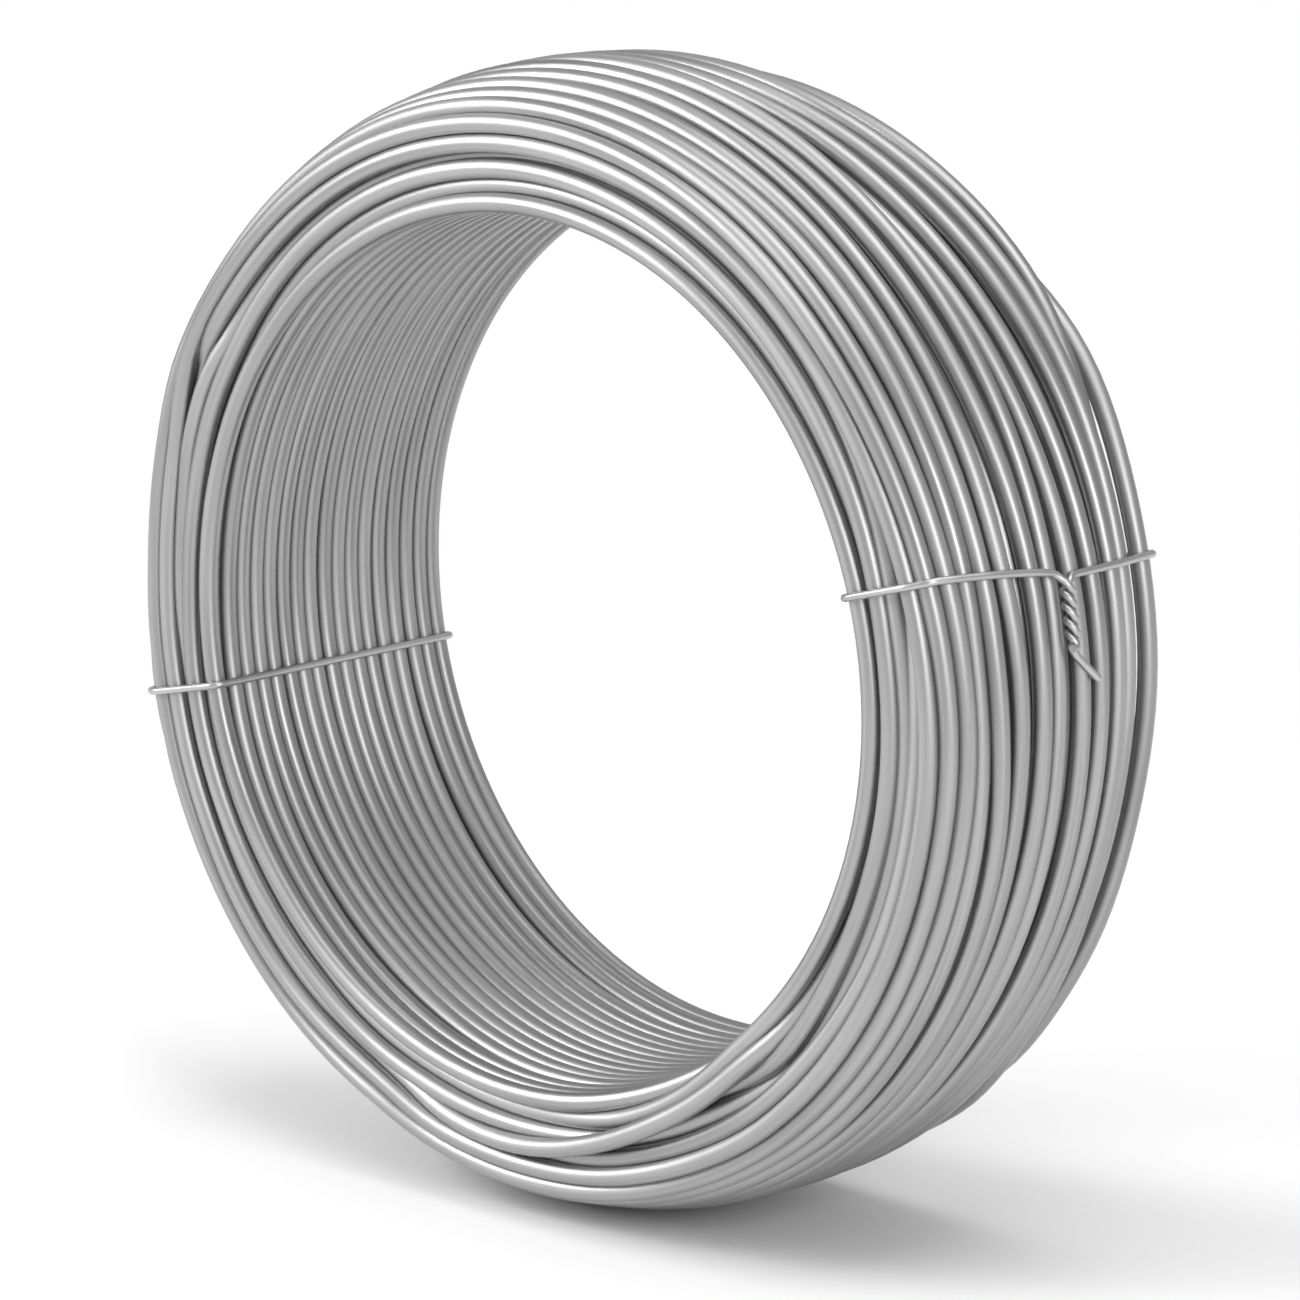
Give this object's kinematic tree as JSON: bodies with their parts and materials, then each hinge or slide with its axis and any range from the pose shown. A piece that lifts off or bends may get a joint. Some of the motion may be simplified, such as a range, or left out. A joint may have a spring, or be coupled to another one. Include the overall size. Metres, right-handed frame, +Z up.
{
  "type": "coil of galvanized wire",
  "caption": "Ring-shaped coil of round galvanized steel wire, standing on its rim and bound with two twisted tie wires.",
  "frame": {"origin": "centre of the bore, midway between the two ends", "axes": "+Y along the bore, towards the end that the picture hides; +Z up, with the coil standing on its rim; +X towards the side where the tie's twist shows"},
  "size_m": [0.1876, 0.056, 0.18],
  "materials": {
    "coil_wire": "bright zinc coating, drawn smooth",
    "tie_wire": "thin zinc coating, slightly duller than the coil"
  },
  "bodies": {
    "root": {"wire_coil": "coil_wire", "tie_right": "tie_wire", "tie_left": "tie_wire"}
  },
  "joints": []
}
